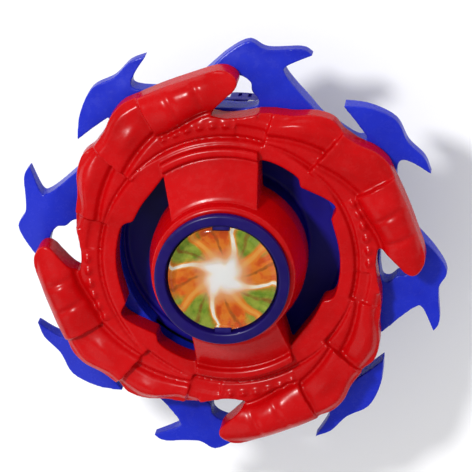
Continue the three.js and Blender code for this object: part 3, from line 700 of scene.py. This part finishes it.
RED = plastic(
    "red_plastic", (0.46, 0.0012, 0.0025), (0.60, 0.02, 0.02), (0.38, 0.0008, 0.0015),
    wear=0.2, coat=0.03, shine=0.22,
)
BLUE = plastic("blue_plastic", (0.010, 0.022, 0.46), (0.05, 0.08, 0.58), (0.007, 0.014, 0.37), wear=0.25)
NAVY = plastic("navy_plastic", (0.009, 0.003, 0.10), (0.03, 0.02, 0.18), (0.006, 0.002, 0.07), 0.3, wear=0.3)
# The base shells and buttons get a lighter navy than the collar: partly their own pigment, partly raised so
# the shaded slots read lighter, a painted fill light.
BASE_NAVY_PAINTED_LIGHT = plastic("base_plastic_painted_lighter", (0.012, 0.006, 0.23), (0.04, 0.03, 0.30), (0.009, 0.004, 0.16), 0.3, wear=0.3)
BLACK = plastic("black_plastic", grey(0.012), grey(0.06), grey(0.008), 0.42)
TIP = plastic("tip_plastic", grey(0.016), grey(0.1), grey(0.01), wear=0.9)
NYLON = plastic("white_nylon", (0.74, 0.72, 0.66), (0.82, 0.81, 0.77), (0.66, 0.63, 0.56), 0.5)
WIRE_RED = plastic("wire_red", (0.45, 0.01, 0.01), (0.6, 0.1, 0.1), (0.35, 0.008, 0.008), 0.4)
WIRE_BLACK = plastic("wire_black", grey(0.01), grey(0.05), grey(0.007), 0.4)
ZINC = metal("zinc_alloy", grey(0.37), grey(0.225), 0.3, grain=3)
STEEL = metal("steel", grey(0.63), grey(0.46), 0.22, brushed=(1, 1, 12))
BRASS = metal("contact_brass", (0.72, 0.50, 0.18), (0.52, 0.34, 0.10), 0.26)
CELL = metal("cell_steel", grey(0.71), grey(0.56), 0.16, brushed=(1, 1, 8))
CLEAR = clear_plastic("clear_lens", (0.97, 0.99, 1.0))
PRINT_WITH_PAINTED_GLOW = printed_film("printed_film")
LAMINATE = laminate("circuit_laminate")
LAMPS = {
    "led_red": clear_plastic("led_red", (1.0, 0.10, 0.07), 0.6, 0.08),
    "led_green": clear_plastic("led_green", (0.10, 0.95, 0.20), 0.6, 0.08),
    "led_blue": clear_plastic("led_blue", (0.10, 0.25, 1.0), 0.6, 0.08),
}


# ---------------------------------------------------------------- attack ring

CLAW = {"from": -6.0, "to": 28.0, "low": 30.2, "high": 31.6}
CLAW_KNUCKLES = (7, 16)  # where shallow dips cross a claw, in degrees from its quadrant's start
KNUCKLE = {"depth": 0.3, "lean": 3, "half": 1.1}
CREASE = {"depth": 0.5, "half": 0.35}
BEADS = {"r": 19.4, "high": 0.22, "half": 0.45, "rate": 68}
HUMP = {"r": 22.6, "drift": 1.5, "high": 0.5, "half": 1.1}
VALLEY = {"r": 20.4, "drift": 1.8, "depth": 0.7, "half": 0.45}
GROOVE = {"r": 17.7, "depth": 0.45, "half": 0.25}
CLAW_SIDE = 29.9  # height of a claw where its dome meets its side walls
PLATES = (
    {"from": 28.0, "to": 49.0, "low": 29.7, "high": 30.8},
    {"from": 49.0, "to": 73.0, "low": 29.5, "high": 30.5},
)
FLAT_TOP = 31.0  # height of the plate before its top is shaped
NOTCH_TOP = 29.6
RIM_TOP = 30.2


def smoothstep(low, high, x):
    t = min(1.0, max(0.0, (x - low) / (high - low)))
    return t * t * (3 - 2 * t)


def bell(x, middle, half):
    """1 at the middle, falling smoothly to nearly 0 two halves away."""
    return math.exp(-(((x - middle) / half) ** 2))


def claw_inner(phase):
    """Radius of the crease along a claw's inner border."""
    return 21.5 - 1.5 * smoothstep(4, 24, phase)


def outer_edge(phase):
    """Rough radius of the ring's outer edge."""
    if phase < CLAW["to"]:
        return 26.6 - 0.7 * smoothstep(2, 20, phase)
    return 26.0 - 1.8 * smoothstep(34, 47, phase) - 2.6 * smoothstep(56, 72, phase)


def claw_height(phase, r):
    """A claw is a drop-shaped dome behind a crease, highest in front of its middle."""
    inner = claw_inner(phase)
    across = (r - inner) / (outer_edge(phase) - inner)
    dome = max(0.0, 1 - (2 * across - 1) ** 2) ** 0.7
    crest = CLAW["low"] + (CLAW["high"] - CLAW["low"]) * smoothstep(CLAW["from"], 13, phase)
    crest -= 0.6 * smoothstep(18, CLAW["to"], phase)
    for knuckle in CLAW_KNUCKLES:
        crest -= KNUCKLE["depth"] * bell(phase, knuckle + KNUCKLE["lean"] * across, KNUCKLE["half"])
    on_claw = smoothstep(-0.03, 0.05, across)
    crease = CREASE["depth"] * bell(r, inner - CREASE["half"], CREASE["half"])
    row = 1.4 + math.cos(math.radians(phase * BEADS["rate"]))
    beads = BEADS["high"] * bell(r, BEADS["r"], BEADS["half"]) * row
    flank = NOTCH_TOP + 0.2 - crease + beads
    return (1 - on_claw) * flank + on_claw * (CLAW_SIDE + (crest - CLAW_SIDE) * dome)


def plate_height(x, y):
    """Height of the ring's top: domed claws over stepped plates, a low notch floor and an inner rim."""
    r = math.hypot(x, y)
    phase = (math.degrees(math.atan2(y, x)) + 12) % 90 - 12
    edge_round = 0.9 * (1 - smoothstep(0, 1.6, outer_edge(phase) - r)) ** 2
    if phase < CLAW["from"] + 2 or phase > PLATES[-1]["to"]:
        body = NOTCH_TOP + 0.35 * smoothstep(19.2, 19.9, r)
    elif phase < CLAW["to"]:
        body = claw_height(phase, r)
        edge_round *= 0.3
    else:
        p = PLATES[0] if phase < PLATES[0]["to"] else PLATES[1]
        along = (phase - p["from"]) / (p["to"] - p["from"])
        swell = math.sin(math.pi * min(1, along * 1.15)) ** 2
        hump = HUMP["high"] * swell * bell(r, HUMP["r"] - HUMP["drift"] * along, HUMP["half"])
        valley = VALLEY["depth"] * bell(r, VALLEY["r"] - VALLEY["drift"] * along, VALLEY["half"])
        body = p["low"] + (p["high"] - p["low"]) * along + hump - valley
    rim = smoothstep(17.6, 17.1, r)
    groove = GROOVE["depth"] * bell(r, GROOVE["r"], GROOVE["half"])
    return (1 - rim) * (body - edge_round - groove) + rim * RIM_TOP


def shape_plate_top(piece):
    """Moves the flat top of the fused plate to plate_height."""
    start = (PLATE_BOTTOM + 1.5) * MM
    for v in piece.data.vertices:
        if v.co.z <= start:
            continue
        share = (v.co.z - start) / (FLAT_TOP * MM - start)
        v.co.z = start + share * (plate_height(v.co.x / MM, v.co.y / MM) * MM - start)


def ear_profile():
    return [(p.x, p.y) for p in filleted(EAR, 0.45, steps=5)]


def ear_half_width(r):
    return 5.8 + (r - EAR[0][0]) * 0.14


def attack_ring():
    bottom = PLATE_BOTTOM
    outline = ring_outline(ATTACK_STROKES)
    hole = ring_outline(SLOT_STROKES, starts=HALVES)
    ring = object_from("attack_ring_moulded", plate([outline, hole], bottom, FLAT_TOP))
    fuse(ring, smooth=0)
    shape_plate_top(ring)
    extras = [turned(TOWER, 0.3)]
    for middle in (EAR_DEG, EAR_DEG + 180):
        extras.append(fan(ear_profile(), ear_half_width, middle))
        low, high = HOOK["z"]
        wall = arc_slice(HOOK["wall"], HOOK["outer"], middle, HOOK["half"])
        extras.append(plate([wall], low, bottom + 0.5))
        extras.append(plate([arc_slice(HOOK["inner"], HOOK["outer"], middle, HOOK["half"])], low, high))
    more = object_from("extras", *extras)
    gather(ring, more)
    fuse(ring, smooth=3)
    finished(ring, RED, "red_plastic", "crown", "attack_ring")


# ---------------------------------------------------------------- blade ring


def blade_height(x, y, z):
    """Thins the teeth towards their tips."""
    r = math.hypot(x, y)
    middle = (BLADE_BOTTOM + BLADE_TOP) / 2
    thin = 1 - 0.42 * smoothstep(25.5, 30.4, r)
    return middle + (z - middle) * thin


def blade_ring():
    outline = ring_outline(BLADE_STROKES)
    holes = [circle(15.4)]
    for quadrant in QUADRANTS:
        points = [polar(d + quadrant, r) for d, r in BLADE_WINDOW]
        holes.append(spline(points + points[:1], 5))
    ring = object_from("blade_ring_moulded", plate([outline, *holes], BLADE_BOTTOM, BLADE_TOP))
    middle = RELEASE_DEG - RING_TWIST / 2
    half = RING_TWIST / 2 + FINGER_ARC["spare"]
    low, high = BLADE_BOTTOM - 1, BLADE_TOP + 1
    arcs = [arc_slice(FINGER_ARC["inner"], FINGER_ARC["outer"], middle + d, half) for d in HALVES]
    carve(ring, *[plate([arc], low, high) for arc in arcs])
    fuse(ring, smooth=3)
    for v in ring.data.vertices:
        v.co.z = blade_height(v.co.x / MM, v.co.y / MM, v.co.z / MM) * MM
    finished(ring, BLUE, "blue_plastic", "crown", "blade_ring")


# ---------------------------------------------------------------- chip


def chip():
    nibs = [block(*NIB, d) for d in HALVES]
    collar = object_from("chip_collar_moulded", turned(COLLAR, 0.35), *nibs)
    finished(collar, NAVY, "navy_plastic", "chip", "chip_collar", flat_angle=50)
    lens = object_from("chip_lens_polished", turned(LENS, 0.25))
    carve(lens, *[block(*NIB_NOTCH, d) for d in HALVES])
    finished(lens, CLEAR, "clear_lens", "chip", "chip_lens", flat_angle=50)
    film = object_from("chip_film", turned(FILM, 0.08))
    finished(film, PRINT_WITH_PAINTED_GLOW, "printed_film", "chip", "chip_sticker", flat_angle=50)


# ---------------------------------------------------------------- core and light


def core():
    for side, away in (("left", (-0.15, 10)), ("right", (-10, 0.15))):
        half = object_from(f"core_{side}_moulded", turned(CORE, 0.2))
        carve(half, block(away, (-10, 10), (14, 35)))
        finished(half, BLACK, "black_plastic", "base", f"core_shell_{side}", flat_angle=40)
    for colour, degrees in LAMP_DEG.items():
        name = f"led_{colour}"
        lamp = object_from(f"{name}_domed", turned(LAMP, 1.1, SMALL_STEPS))
        shift(lamp, polar(degrees, LAMP_CIRCLE))
        finished(lamp, LAMPS[name], name, "base", name, flat_angle=45)
    board = object_from("board_cut", plate([circle(BOARD["r"])], *BOARD["z"]))
    carve(board, *[block((-1, 1), (BOARD["r"] - 0.5, 8), (27, 31), d) for d in HALVES])
    soften(board, 0.06, 2)
    finished(board, LAMINATE, "circuit_laminate", "base", "circuit_board", flat_angle=30)
    blob = object_from("control_chip_cast", turned(CHIP_BLOB, 0.3, SMALL_STEPS))
    finished(blob, BLACK, "black_plastic", "base", "control_chip", flat_angle=50)


def cells():
    holder = object_from("cell_holder_moulded", turned(CELL_HOLDER, 0.15))
    carve(holder, *[block(*cut) for cut in HOLDER_CUTS])
    finished(holder, NYLON, "white_nylon", "base", "cell_holder", flat_angle=40)
    for i, place in enumerate(("bottom", "middle", "top")):
        raised = [(r, z + CELL_PITCH * i) for r, z in BUTTON_CELL]
        cell = object_from(f"button_cell_{place}_pressed", turned(raised, 0.25))
        finished(cell, CELL, "cell_steel", "base", f"button_cell_{place}", flat_angle=40)
    for pole, low, arm in (("negative", 16.2, (-5.9, -3.5)), ("positive", 26.65, (3.5, 5.9))):
        z = (low, low + CONTACT["thick"])
        leaf = object_from(f"contact_{pole}_stamped", plate([circle(CONTACT["r"])], *z))
        combine(leaf, object_from("tongue", block(CONTACT["tongue"], arm, z)), "UNION")
        soften(leaf, 0.08, 2)
        finished(leaf, BRASS, "contact_brass", "base", f"contact_{pole}", flat_angle=30)
    black = rod("wire_negative_laid", WIRE_NEGATIVE, WIRE_R)
    finished(black, WIRE_BLACK, "wire_black", "base", "wire_negative")
    red = rod("wire_positive_laid", WIRE_POSITIVE, WIRE_R)
    finished(red, WIRE_RED, "wire_red", "base", "wire_positive")


def switch():
    guide = object_from("switch_guide_moulded", block(*SWITCH_GUIDE))
    carve(guide, block(*SWITCH_ROOM))
    soften(guide, 0.06, 2)
    finished(guide, NYLON, "white_nylon", "base", "switch_guide", flat_angle=30)
    weight = object_from("switch_weight_turned", block(*SWITCH_WEIGHT))
    soften(weight, 0.12, 3)
    finished(weight, BRASS, "contact_brass", "switch", "switch_weight", flat_angle=30)
    start, end = COIL["x"]
    per_turn = 12
    points = []
    for i in range(COIL["turns"] * per_turn + 1):
        around = polar(360 * i / per_turn, COIL["r"])
        along = start + (end - start) * i / (COIL["turns"] * per_turn)
        points.append((along, COIL["y"] + around.x, COIL["z"] + around.y))
    coil = rod("switch_spring_wound", points, COIL["wire_r"], steps=2)
    finished(coil, STEEL, "steel", "base", "switch_spring")
    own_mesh(coil)


# ---------------------------------------------------------------- base

SCREW_PLACES = [polar(degrees, SCREW_CIRCLE) for degrees in SCREW_DEG]


def base_lower():
    posts = [cylinder(p, SCREW_POST_R, *LOWER_POST_Z) for p in SCREW_PLACES]
    shell = object_from("base_lower_moulded", turned(BASE_LOWER, 0.3), *posts)
    fuse(shell, smooth=2)
    recesses = [cylinder(p, SCREW_HEAD_ROOM_R, 5, 10.8) for p in SCREW_PLACES]
    carve(shell, *recesses, *[cylinder(p, SCREW_HOLE_R, 5, 14) for p in SCREW_PLACES])
    finished(shell, BASE_NAVY_PAINTED_LIGHT, "navy_plastic", "base", "base_lower_shell", flat_angle=55)


def base_upper():
    forms = [turned(BASE_UPPER, 0.3)]
    forms += [cylinder(p, SCREW_POST_R, *UPPER_POST_Z) for p in SCREW_PLACES]
    for d in HALVES:
        tab = arc_slice(TAB["inner"], TAB["outer"], EAR_DEG + d, TAB["half"])
        forms.append(plate([tab], *TAB["z"]))
        forms.append(block(*DISK_KEY, d))
    shell = object_from("base_upper_moulded", *forms)
    fuse(shell, smooth=2)
    rooms = [cylinder(p, SCREW_HOLE_R, 12, 18.7) for p in SCREW_PLACES]
    rooms += [block(*room, RELEASE_DEG + d) for d in HALVES for room in BUTTON_ROOMS]
    carve(shell, *rooms)
    finished(shell, BASE_NAVY_PAINTED_LIGHT, "navy_plastic", "base", "base_upper_shell", flat_angle=45)


def base_screws():
    for i, place in enumerate(SCREW_PLACES):
        screw = object_from(f"base_screw_{i + 1}_driven", turned(SCREW, 0.25, SMALL_STEPS))
        carve(screw, *[block(*DRIVE_SLOT, d) for d in (0, 90)])
        shift(screw, place)
        finished(screw, STEEL, "steel", "base", f"base_screw_{i + 1}", flat_angle=35)


def release_buttons():
    pad, grip = BUTTON_PAD, BUTTON_GRIP
    for side, middle in (("right", RELEASE_DEG), ("left", RELEASE_DEG + 180)):
        button = object_from(
            f"release_button_{side}_moulded",
            plate([arc_slice(pad["inner"], pad["outer"], middle, pad["half"])], *pad["z"]),
            block(*BUTTON_STEM, middle),
            block(*BUTTON_FINGER, middle),
        )
        fuse(button, 0.12 * MM, smooth=3)
        first = middle - grip["pitch"] * (grip["count"] - 1) / 2
        degrees = [first + grip["pitch"] * i for i in range(grip["count"])]
        flutes = [arc_slice(grip["inner"], grip["outer"], d, grip["half"]) for d in degrees]
        carve(button, *[plate([flute], *grip["z"]) for flute in flutes])
        finished(button, BASE_NAVY_PAINTED_LIGHT, "navy_plastic", f"{side}_button", f"release_button_{side}", flat_angle=40)
        leaf_spring(side, middle)


def leaf_spring(side, middle):
    """A bowed strip."""
    end, mid, half, thick = LEAF["end"], LEAF["mid"], LEAF["half"], LEAF["thick"]
    bow = [(end + (mid - end) * (1 - t * t), half * t) for t in (k / 12 - 1 for k in range(25))]
    turn = Matrix.Rotation(math.radians(middle), 2)
    outline = [turn @ Vector(p) for p in bow + [(x - thick, y) for x, y in reversed(bow)]]
    strip = object_from(f"release_spring_{side}_bowed", plate([outline], *LEAF["z"]))
    soften(strip, 0.05, 2)
    finished(strip, STEEL, "steel", "base", f"release_spring_{side}", flat_angle=30)
    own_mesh(strip)


def weight_disk():
    """A cast ring with bites out of its edge."""
    step = 360 / DISK["bites"]
    centres = [polar((k + 0.5) * step, DISK["bite_circle"]) for k in range(DISK["bites"])]
    outline = circle(DISK["r"], 720)
    for centre in centres:
        for i, p in enumerate(outline):
            if (p - centre).length < DISK["bite_r"]:
                outline[i] = centre + (p - centre).normalized() * DISK["bite_r"]
    disk = object_from("weight_disk_cast", plate([outline, circle(DISK["hole"])], *DISK["z"]))
    carve(disk, *[block(*DISK_KEYWAY, d) for d in HALVES])
    soften(disk, 0.25, 3)
    finished(disk, ZINC, "zinc_alloy", "base", "weight_disk", flat_angle=60)


# ---------------------------------------------------------------- tip and bearing


def tip():
    cap = object_from("tip_cap_turned", turned(TIP_CAP, 0.35))
    finished(cap, TIP, "tip_plastic", "tip", "tip_cap", flat_angle=50)
    shaft = object_from("tip_shaft_turned", turned(TIP_SHAFT, 0.08, SMALL_STEPS))
    finished(shaft, STEEL, "steel", "tip", "tip_shaft", flat_angle=30)
    clip = object_from("shaft_clip_sprung", turned(SHAFT_CLIP, 0.08, SMALL_STEPS))
    carve(clip, block((0, 3), (-0.7, 0.7), (10, 12)))
    finished(clip, STEEL, "steel", "tip", "shaft_clip", flat_angle=30)


def bearing():
    for race, body, profile in (("inner", "tip", INNER_RACE), ("outer", "base", OUTER_RACE)):
        ring = object_from(f"bearing_{race}_ground", turned(profile, 0.12))
        finished(ring, STEEL, "steel", body, f"bearing_{race}_ring", flat_angle=30)
    places = [polar(360 * i / BALL["count"], BALL["circle"]) for i in range(BALL["count"])]
    balls = [ball(BALL["r"], p.x, p.y, BALL["z"]) for p in places]
    caged = object_from("bearing_balls_caged", turned(BALL_CAGE, 0.08), *balls)
    finished(caged, STEEL, "steel", "ball_cage", "bearing_ball_cage", flat_angle=50)


# ---------------------------------------------------------------- stage, lights and camera


def stage():
    bm = bmesh.new()
    bmesh.ops.create_grid(bm, x_segments=1, y_segments=1, size=FLOOR_SIZE)
    floor = object_from("floor", bm)
    floor.scale = (1 / MM, 1 / MM, 1)
    floor.data.materials.append(floor_material())


def floor_material():
    n = Nodes("pale_floor")
    tone = n.ramp(n.noise(0.02, 2), (0.3, (0.93, 0.93, 0.94)), (0.7, (0.96, 0.96, 0.96)))
    n.link(tone, n.shader.inputs["Base Color"])
    n.set(Roughness=0.7)
    return n.material


def camera(centre):
    """Looks at the centre from CAMERA_TILT off the spin axis."""
    tilt = math.radians(CAMERA_TILT)
    side = polar(CAMERA_SIDE, 1)
    out = Vector((side.x * math.sin(tilt), side.y * math.sin(tilt), math.cos(tilt)))
    turn = Matrix.Rotation(tilt, 3, Vector((-side.y, side.x, 0)))
    half = math.atan(CAMERA_SENSOR / 2 / CAMERA_LENS)
    distance = CAMERA_WIDTH / 2 / math.tan(half)
    data = bpy.data.cameras.new("camera")
    data.lens = CAMERA_LENS
    data.sensor_width = CAMERA_SENSOR
    eye = bpy.data.objects.new("camera", data)
    eye.rotation_mode = "QUATERNION"
    eye.rotation_quaternion = turn.to_quaternion()
    eye.location = centre + out * distance
    bpy.context.scene.collection.objects.link(eye)
    bpy.context.scene.camera = eye


def area_light(name, centre, facts):
    """A round soft light that looks at the centre."""
    data = bpy.data.lights.new(name, "AREA")
    data.shape = "DISK"
    data.size = facts["size"]
    data.energy = facts["power"]
    light = bpy.data.objects.new(name, data)
    light.location = centre + Vector(facts["offset"])
    light.rotation_mode = "QUATERNION"
    light.rotation_quaternion = (-Vector(facts["offset"])).to_track_quat("-Z", "Y")
    bpy.context.scene.collection.objects.link(light)


def studio_world():
    """White light from all round, which glossy reflections see as a dark room."""
    world = bpy.data.worlds.new("studio")
    world.use_nodes = True
    tree = world.node_tree
    background = tree.nodes["Background"]
    background.inputs["Color"].default_value = (1, 1, 1, 1)
    path = tree.nodes.new("ShaderNodeLightPath")
    strength = tree.nodes.new("ShaderNodeMapRange")
    strength.inputs["To Min"].default_value = WORLD_LIGHT
    strength.inputs["To Max"].default_value = WORLD_REFLECTED
    tree.links.new(path.outputs["Is Glossy Ray"], strength.inputs["Value"])
    tree.links.new(strength.outputs["Result"], background.inputs["Strength"])
    bpy.context.scene.world = world


def lights_and_camera():
    low, high = cad_box
    centre = (low + high) / 2
    camera(centre)
    area_light("key", centre, KEY_LIGHT)
    area_light("fill", centre, FILL_LIGHT)
    studio_world()
    bpy.context.scene.view_settings.view_transform = "Standard"


# ---------------------------------------------------------------- the model

attack_ring()
blade_ring()
chip()
core()
cells()
switch()
base_lower()
base_upper()
base_screws()
release_buttons()
weight_disk()
tip()
bearing()
stage()
lights_and_camera()
